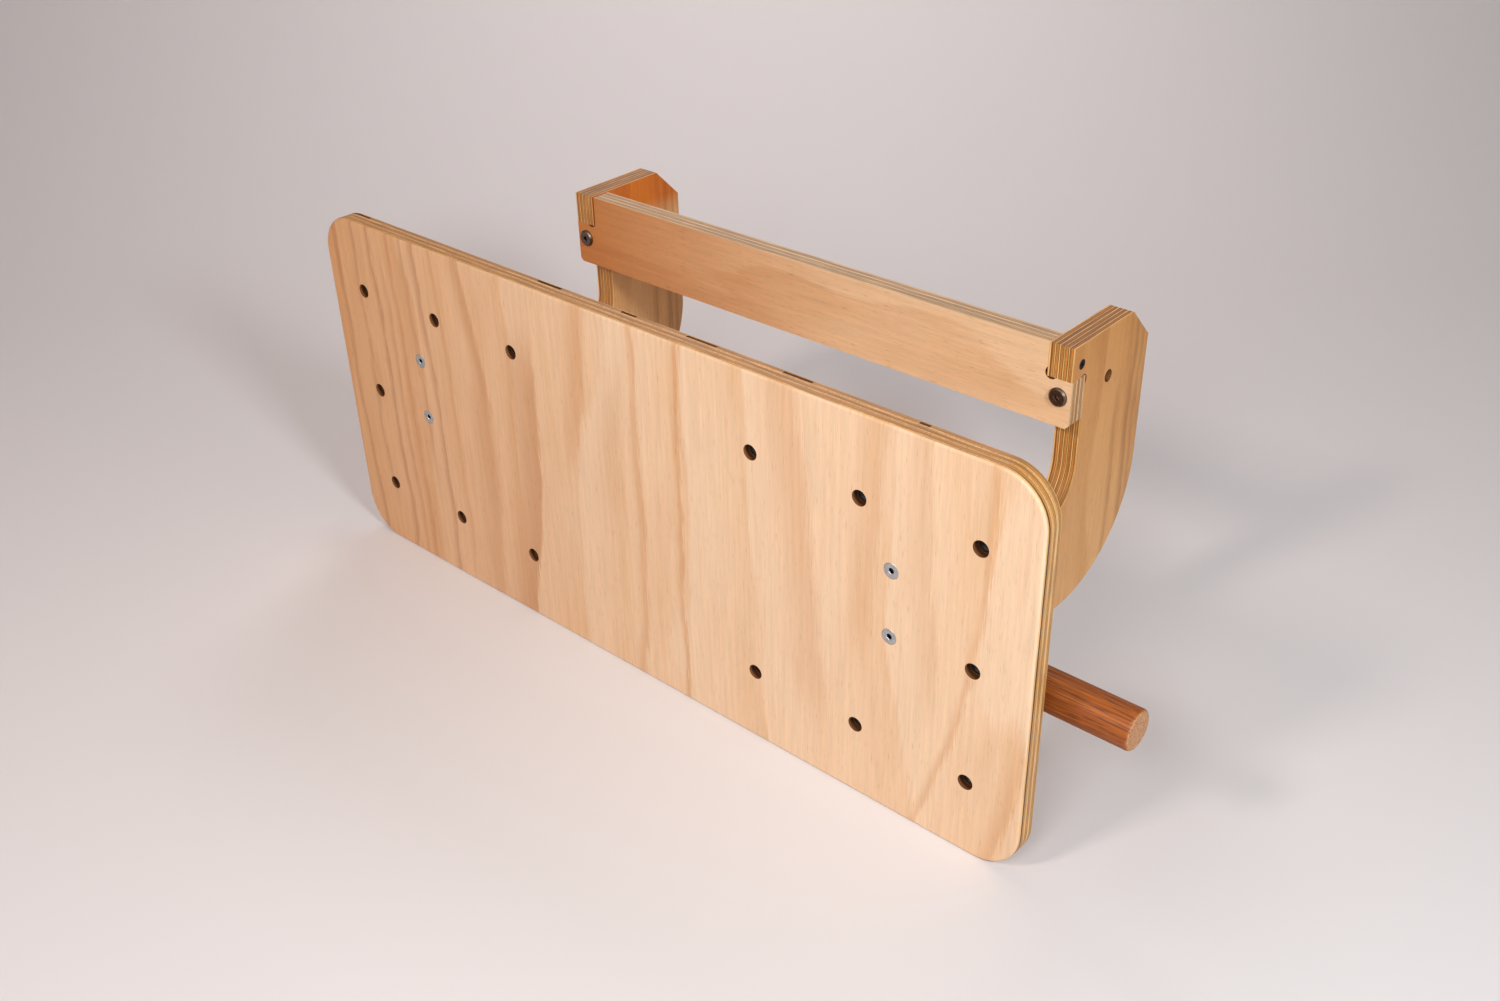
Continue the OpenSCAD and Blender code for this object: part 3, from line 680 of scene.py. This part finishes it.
board_nuts = [middle_of("board_nut_right_lower"), middle_of("board_nut_right_upper")]
crossbar_nut = middle_of("crossbar_nut_right")
end_screw = middle_of("end_screw_right")
cut(right_bracket,
    through_bracket(arm_front_y - relief_set, notch_z - relief_set, relief_r),
    through_bracket(bar_middle.y, bar_middle.z, bar_r + fit_gap),
    *[through_bracket(nut.y, nut.z, nut_hole_r) for nut in board_nuts + [crossbar_nut]],
    *[shank_hole(bracket_low.y, nut.z, nut.y - bracket_low.y + shank_hole_past_nut) for nut in board_nuts],
    shank_hole(arm_front_y, crossbar_nut.z, crossbar_nut.y - arm_front_y + shank_hole_past_nut),
    screw_hole((bracket_high.x, end_screw.y, end_screw.z), (-1, 0, 0), end_screw_hole_l),
    screw_hole((bracket_middle_x, bar_middle.y, bracket_low.z), (0, 0, 1), bar_screw_hole_l))
left_bracket = copied(right_bracket)
left_bracket.scale = (-1, 1, 1)
fix_place()
bpy.ops.object.mode_set(mode="EDIT")
close()
for piece, node in ((right_bracket, "right_bracket"), (left_bracket, "left_bracket")):
    wood = plywood(f"pine_{node}", "YXZ", *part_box(node), bracket_plies, bracket_cross_share, bracket_colours,
                   bracket_ring_w, bracket_side_tint[node], bracket_streaks, shown_ply=bracket_plies - 1)
    hand_over(piece, node, wood, eased=0.5 * MM)
    # Painted shade: the walls of the nut holes and of the relief are drawn in the darker pine
    line_holes(piece, scorch_and_shade_wood, "YZ", [(nut.y, nut.z, nut_hole_r) for nut in board_nuts + [crossbar_nut]]
               + [(arm_front_y - relief_set, notch_z - relief_set, relief_r)])

# Round bar: lies behind the board, through both brackets, and bears on the door casing beside the opening.
# Red-brown hardwood dowel with an oil finish, its ends rounded over and paler where the grain is cut across;
# a black wood screw from below each bracket keeps it from turning and sliding.
bar_low, bar_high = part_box("bar")
bar_l = bar_high.x - bar_low.x
bar_end_r = 3 * MM
bar_end_steps = 5
bar_screw_l = 60 * MM
figure_l, figure_w = 130 * MM, 3.2 * MM
pore_l, pore_w = 22 * MM, 0.9 * MM

# Oiled hardwood: red-brown with a silky sheen, its dark pores drawn coarser than real so that they show
bar_wood, tree, shader = blank("oiled_hardwood")
coords = add(tree, "TexCoord")
facing = add(tree, "SeparateXYZ", {0: coords.outputs["Normal"]})
end = add(tree, "Math", {0: facing.outputs[0]}, operation="ABSOLUTE")
end = add(tree, "MapRange", {"Value": end, "From Min": 0.5, "From Max": 0.85})
figure_at = add(tree, "VectorMath", {
    0: coords.outputs["Object"], 1: (1 / figure_l, 1 / figure_w, 1 / figure_w)}, operation="MULTIPLY")
figure = add(tree, "TexNoise", {"Vector": figure_at, "Scale": 1, "Detail": 6, "Roughness": 0.75})
wood = add(tree, "ValToRGB", {"Fac": figure}, stops=[
    (0.3, "#5E2906"), (0.45, "#8C440A"), (0.58, "#AC5C12"), (0.72, "#CC7E2C")])
pore_at = add(tree, "VectorMath", {
    0: coords.outputs["Object"], 1: (1 / pore_l, 1 / pore_w, 1 / pore_w)}, operation="MULTIPLY")
pore = add(tree, "TexNoise", {"Vector": pore_at, "Scale": 1, "Detail": 1})
pore = add(tree, "MapRange", {"Value": pore, "From Min": 0.56, "From Max": 0.66, "To Max": 0.75})
cut_across = add(tree, "ValToRGB", {"Fac": figure}, stops=[(0.3, "#B87E50"), (0.7, "#D29D6C")])
wood = add(tree, "Mix", {0: end, 6: wood, 7: cut_across}, data_type="RGBA")
wood = add(tree, "Mix", {0: pore, 6: wood.outputs[2], 7: linear("#4A2410")}, data_type="RGBA")
rough = add(tree, "MapRange", {"Value": figure, "From Min": 0.3, "From Max": 0.7,
                               "To Min": 0.48, "To Max": 0.62})
bump = add(tree, "Bump", {"Height": pore, "Strength": 0.25, "Distance": 0.2 * MM}, invert=True)
feed(tree, shader, {"Base Color": wood.outputs[2], "Roughness": rough, "Normal": bump, "IOR": 1.5})

rounding = [math.radians(90 * step / bar_end_steps) for step in range(bar_end_steps + 1)]
near_end = [(bar_r - bar_end_r * (1 - math.sin(a)), bar_end_r * (1 - math.cos(a))) for a in rounding]
far_end = [(r, bar_l - at) for r, at in reversed(near_end)]
bar = turned(near_end + far_end, (bar_low.x, bar_middle.y, bar_middle.z), (1, 0, 0), sides=72)
cut(bar, *[bore(screw_r + fit_gap, bar_screw_l + drill_over,
                (side * bracket_middle_x, bar_middle.y, bracket_low.z), (0, 0, 1), sides=32)
           for side in (-1, 1)])
hand_over(bar, "bar", bar_wood, sharp_angle=35)


def wood_screw(length):
    """A countersunk wood screw with a cross recess, its head at the origin and its point up."""
    edge, core_r, tip_r, tip_l = 0.1 * MM, 1.4 * MM, 0.3 * MM, 5 * MM
    shank_l, thread_start, pitch = 12 * MM, 13 * MM, 1.8 * MM
    recess_l, recess_w, recess_depth, recess_taper = 4.2 * MM, 1.2 * MM, 1.4 * MM, 0.6
    piece = turned([(screw_head_r - edge, 0), (screw_head_r, edge), (screw_head_r, screw_head_rim),
                    (screw_r, screw_head_l), (screw_r, shank_l)]
                   + threaded(core_r, screw_r, thread_start, length - tip_l, pitch)
                   + [(tip_r, length)], sides=32)
    for size_x, size_y in ((recess_l, recess_w), (recess_w, recess_l)):
        recess = begin(bpy.ops.mesh.primitive_cube_add, size=1,
                       location=(0, 0, (recess_depth - drill_over) / 2),
                       scale=(size_x, size_y, recess_depth + drill_over))
        pick("FACE", lambda face: face.normal.z > 0.5)
        bpy.ops.transform.resize(value=(recess_taper, recess_taper, 1))
        close()
        cut(piece, recess)
    return piece


# Black phosphate coating on the wood screws, nearly black with a dull sheen
black_coat = metal("black_phosphated_steel", "#1C1B1B", "#2A2827", 1.5 * MM, 0.38, 0.55)
screw = wood_screw(bar_screw_l)
for side, name in ((-1, "bar_screw_left"), (1, "bar_screw_right")):
    hand_over(copied(screw, (side * bracket_middle_x, bar_middle.y, bracket_low.z)), name, black_coat,
              sharp_angle=35)
bpy.data.objects.remove(screw)

# Board bolts: hold the board to the front legs of the brackets, two to each.
# Zinc-plated steel M6 bolts, cold-headed with a countersunk head and a pressed hex socket, with a rolled
# thread, each screwed into a barrel nut that lies across the leg.
bolt_r, bolt_core_r, bolt_pitch, bolt_end_r, bolt_end_l = 3 * MM, 2.5 * MM, 1 * MM, 2.4 * MM, 1 * MM
board_head_r, board_head_rim, board_head_l = 6 * MM, 0.3 * MM, 3.3 * MM
board_head_edge_w, board_head_edge_t = 0.15 * MM, 0.12 * MM
board_shank_l, board_thread_start = 30 * MM, 31 * MM
board_bolt_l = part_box("board_bolt_left_lower")[1].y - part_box("board_bolt_left_lower")[0].y
socket_r = 2 * MM / math.cos(math.radians(30))
socket_depth, socket_flare, socket_lead = 2.6 * MM, 1.25, 0.3 * MM
socket_point_r, socket_point_l = 0.4 * MM, 0.5 * MM


def hex_socket():
    """Cutter for a pressed hex socket with a drilled point, mouth at the origin, pointing up."""
    return turned([(socket_r * socket_flare, -socket_lead), (socket_r, socket_lead), (socket_r, socket_depth),
                   (socket_point_r, socket_depth + socket_point_l)], sides=6)


board_bolt = turned([(board_head_r - board_head_edge_w, 0), (board_head_r, board_head_edge_t),
                     (board_head_r, board_head_rim), (bolt_r, board_head_l), (bolt_r, board_shank_l)]
                    + threaded(bolt_core_r, bolt_r, board_thread_start, board_bolt_l - bolt_end_l, bolt_pitch)
                    + [(bolt_end_r, board_bolt_l)])
cut(board_bolt, hex_socket())
for name in board_bolt_names:
    place = (middle_of(name).x, board_low.y, middle_of(name).z)
    bolt = copied(board_bolt, place, (math.radians(-90), 0, 0))
    hand_over(bolt, name, zinc_plate, sharp_angle=35)
    # Painted shade: the socket of each board bolt is drawn in the dark zinc
    line_holes(bolt, black_zinc_and_socket_shade, "XZ", [(place[0], place[2], socket_r)])
bpy.data.objects.remove(board_bolt)

nut_l, nut_r, nut_bevel = 13 * MM, 5 * MM, 0.4 * MM
nut_bore_r, nut_mouth_r = 3.1 * MM, 3.5 * MM
nut_slot_w, nut_slot_depth, nut_slot_reach = 1.6 * MM, 1.5 * MM, 7 * MM
mouth_at = nut_r - nut_bevel
bore_at = mouth_at - nut_bevel
barrel_nut = turned([(nut_r - nut_bevel, 0), (nut_r, nut_bevel), (nut_r, nut_l - nut_bevel),
                     (nut_r - nut_bevel, nut_l)], (-nut_l / 2, 0, 0), (1, 0, 0))
cut(barrel_nut,
    turned([(nut_mouth_r, -nut_r - drill_over), (nut_mouth_r, -mouth_at), (nut_bore_r, -bore_at),
            (nut_bore_r, bore_at), (nut_mouth_r, mouth_at), (nut_mouth_r, nut_r + drill_over)],
           direction=(0, 1, 0)),
    block((nut_l / 2 - nut_slot_depth, -nut_slot_reach, -nut_slot_w / 2),
          (nut_l / 2 + drill_over, nut_slot_reach, nut_slot_w / 2)))
barrel_nut_names = sorted(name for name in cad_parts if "_nut_" in name and not name.startswith("tee_"))
for name in barrel_nut_names:
    flip = math.radians(180) if "_left" in name else 0
    hand_over(copied(barrel_nut, middle_of(name), (0, 0, flip)), name, black_zinc_and_socket_shade,
              sharp_angle=35)
bpy.data.objects.remove(barrel_nut)

# Crossbar: ties the two brackets together and rests on top of the door trim.
# Seven-ply pine plywood with the grain along it, lacquered; both ends are notched over the brackets' noses,
# with a round relief from the router in each notch, and the lower corners are bevelled.
crossbar_low, crossbar_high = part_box("crossbar")
crossbar_plies = 7
crossbar_cross_share = 0.45
crossbar_ring_w = 30 * MM
crossbar_chamfer = 3 * MM
crossbar_drill_start, crossbar_drill_l = crossbar_low.y - 10 * MM, 40 * MM
end_screw_l = 50 * MM

# Where the notches end beside the noses: the crossbar sits a little to the right, so the left gap is wider
left_gap, right_gap = 1.8 * MM, 0.2 * MM
shoulders = {-1: left_gap - bracket_low.x, 1: bracket_low.x - right_gap}

# Pine plywood of the crossbar: peach faces with short dark flecks
crossbar_colours = {
    "early": "#F6CFA4", "middle": "#F0C393", "late": "#E0AA76", "fleck": "#B88A62",
    "light_ply": "#DEBC92", "light_ply_2": "#D4AF82", "dark_ply": "#BE8A52", "dark_ply_2": "#B07C46",
    "cross_end": "#C8A278", "end_grain": "#F4E4CA", "glue": "#8E6236", "seam": "#B08A5C"}
# The crossbar's face is tinted darker and warmer towards its left end
crossbar_side_tint = ("X", crossbar_low.x, 60 * MM, "#D3A060")
crossbar_wood = plywood("pine_crossbar", "ZYX", crossbar_low, crossbar_high, crossbar_plies,
                        crossbar_cross_share, crossbar_colours, crossbar_ring_w, crossbar_side_tint)

crossbar = begin(bpy.ops.mesh.primitive_plane_add, size=1, rotation=(math.radians(90), 0, 0),
                 location=((shoulders[-1] + shoulders[1]) / 2, crossbar_low.y,
                           (crossbar_low.z + notch_z) / 2),
                 scale=(shoulders[1] - shoulders[-1], notch_z - crossbar_low.z, 1))
pick_edges(lambda at: near(at.z, notch_z))
extrude(0, 0, crossbar_high.z - notch_z)
for side, shoulder in shoulders.items():
    pick_edges(lambda at: near(at.x, shoulder) and at.z < notch_z + MM)
    extrude(side * crossbar_high.x - shoulder, 0, 0)
one_outline()
for side in shoulders:
    round_corner(0, 2, (side * crossbar_high.x, crossbar_low.z), crossbar_chamfer, 1)
bpy.ops.mesh.select_all(action="SELECT")
extrude(0, crossbar_high.y - crossbar_low.y, 0)
close()
reliefs = {side: (side * (bracket_low.x + relief_set), notch_z + relief_set) for side in shoulders}
for side, (relief_x, relief_z) in reliefs.items():
    cut(crossbar,
        bore(relief_r, crossbar_drill_l, (relief_x, crossbar_drill_start, relief_z), (0, 1, 0), sides=64),
        bore(shank_hole_r, crossbar_drill_l, (side * bracket_middle_x, crossbar_drill_start, crossbar_nut.z),
             (0, 1, 0)),
        bore(screw_r + fit_gap, end_screw_l + drill_over, (side * bracket_high.x, end_screw.y, end_screw.z),
             (-side, 0, 0), sides=32))
hand_over(crossbar, "crossbar", crossbar_wood, eased=0.4 * MM)
# Painted shade: the walls of the reliefs are drawn in the darker pine
line_holes(crossbar, scorch_and_shade_wood, "XZ", [(x, z, relief_r) for x, z in reliefs.values()])

# Crossbar bolts and end screws: clamp each end of the crossbar against its bracket.
# Furniture bolts of black-bronze plated steel with a flat bevelled head and a hex socket, in barrel nuts;
# and black wood screws driven through the brackets' noses into the ends of the crossbar.
bolt_low, bolt_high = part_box("crossbar_bolt_right")
crossbar_bolt_l = bolt_high.y - bolt_low.y
head_r, head_t, head_bevel, head_edge = 7.5 * MM, 2.4 * MM, 1.3 * MM, 0.1 * MM
crossbar_shank_l, crossbar_thread_start = 34 * MM, 35 * MM

# Black-bronze plating, warm dark grey and glossy
bronze_plate = metal("black_bronze_plated_steel", "#7C6C62", "#5E524A", 1.5 * MM, 0.26, 0.38)
crossbar_bolt = turned([(head_r - head_bevel, 0), (head_r - head_edge, head_bevel - head_edge),
                        (head_r, head_bevel + head_edge), (head_r, head_t), (bolt_r, head_t),
                        (bolt_r, crossbar_shank_l)]
                       + threaded(bolt_core_r, bolt_r, crossbar_thread_start, crossbar_bolt_l - bolt_end_l,
                                  bolt_pitch)
                       + [(bolt_end_r, crossbar_bolt_l)], sides=64)
cut(crossbar_bolt, hex_socket())
for name in ("crossbar_bolt_left", "crossbar_bolt_right"):
    place = (middle_of(name).x, bolt_low.y, middle_of(name).z)
    hand_over(copied(crossbar_bolt, place, (math.radians(-90), 0, 0)), name, bronze_plate,
              sharp_angle=30)
bpy.data.objects.remove(crossbar_bolt)

screw = wood_screw(end_screw_l)
for side, name in ((-1, "end_screw_left"), (1, "end_screw_right")):
    place = (side * bracket_high.x, end_screw.y, end_screw.z)
    hand_over(copied(screw, place, (0, math.radians(-90 * side), 0)), name, black_coat,
              sharp_angle=35)
bpy.data.objects.remove(screw)

# Studio: the camera of the photograph, a sheet of matt paper and four soft lamps.
# The paper lies under the board and sweeps up behind it in one bend. Three lamps light the object, from the
# right, the front and beside the camera, the fourth lights the paper behind, and the air fills the shadows.
camera_data = bpy.data.cameras.new("camera")
camera_data.sensor_width = 36
camera_data.lens = 36.466
camera = bpy.data.objects.new("camera", camera_data)
camera_place = (0.7355, -0.8804, 0.5380)
camera_right = Vector((0.7491, 0.6621, -0.0221))
camera_forward = Vector((-0.5736, 0.6316, -0.5216)).normalized()
camera_right = (camera_right - camera_forward * camera_right.dot(camera_forward)).normalized()
camera_up = camera_right.cross(camera_forward)
turn = Matrix((camera_right, camera_up, -camera_forward)).transposed().to_4x4()
camera.matrix_world = Matrix.Translation(camera_place) @ turn
bpy.context.scene.collection.objects.link(camera)
bpy.context.scene.camera = camera

sweep_start, sweep_r, sweep_steps, sweep_turn = 0.6, 1.1, 24, math.radians(132)
floor_front, floor_w, paper_rise = 1.6, 20, 3
floor = begin(bpy.ops.mesh.primitive_plane_add, size=1, scale=(floor_front + sweep_start, floor_w, 1),
              location=((sweep_start - floor_front) / 2, 0, board_low.z))
pick_edges(lambda at: near(at.x, sweep_start))
bends = [math.radians(90 * step / sweep_steps) for step in range(sweep_steps + 1)]
for a, b in zip(bends, bends[1:]):
    extrude(sweep_r * (math.sin(b) - math.sin(a)), 0, sweep_r * (math.cos(a) - math.cos(b)))
extrude(0, 0, paper_rise)
close()
bpy.ops.object.shade_smooth()
floor.rotation_euler = (0, 0, sweep_turn)
fix_place()
floor.name = "studio_sweep"

# Matt background paper: an even pale grey without a sheen
floor_paper, tree, shader = blank("matt_white_paper")
feed(tree, shader, {"Base Color": linear("#E5E1E0"), "Roughness": 0.8})
floor.data.materials.append(floor_paper)


def lamp(name, place, aim, size, power, colour):
    """A square soft box that looks at a point."""
    data = bpy.data.lights.new(name, "AREA")
    data.size = size
    data.energy = power
    data.color = linear(colour)[:3]
    made = bpy.data.objects.new(name, data)
    made.location = place
    made.rotation_euler = (Vector(aim) - Vector(place)).to_track_quat("-Z", "Y").to_euler()
    bpy.context.scene.collection.objects.link(made)


lamp("right_softbox", (1.45, -0.65, 0.87), (0, -0.1, -0.1), 0.3, 17, "#F4FAFF")
lamp("front_softbox", (-0.15, -1.75, 1.3), (0, -0.1, -0.1), 0.3, 13.5, "#FFECE2")
lamp("camera_side_softbox", (0.6, -1.2, 0.75), (0.1, -0.1, -0.1), 0.4, 5.5, "#FAFCFF")
lamp("background_lamp", (-0.8, 0.9, 1.3), (-0.8, 0.95, 0), 0.6, 8, "#FFF6F6")

# The air gives a weak even light, and past the paper's edges the eye and polished metal see a pale surround
world = bpy.data.worlds.new("studio_air")
bpy.context.scene.world = world
world.use_nodes = True
tree = world.node_tree
air = tree.nodes["Background"]
feed(tree, air, {"Color": linear("#FFF5F4"), "Strength": 0.13})
surround = add(tree, "Background", {"Color": linear("#D2CBCA"), "Strength": 1})
ray = add(tree, "LightPath")
seen = add(tree, "Math", {0: ray.outputs["Is Camera Ray"], 1: ray.outputs["Is Glossy Ray"]},
           operation="MAXIMUM")
seen = add(tree, "Math", {0: seen, 1: ray.outputs["Is Transmission Ray"]}, operation="MAXIMUM")
background = add(tree, "MixShader", {0: seen, 1: air, 2: surround})
feed(tree, tree.nodes["World Output"], {"Surface": background})
bpy.context.scene.view_settings.view_transform = "Standard"
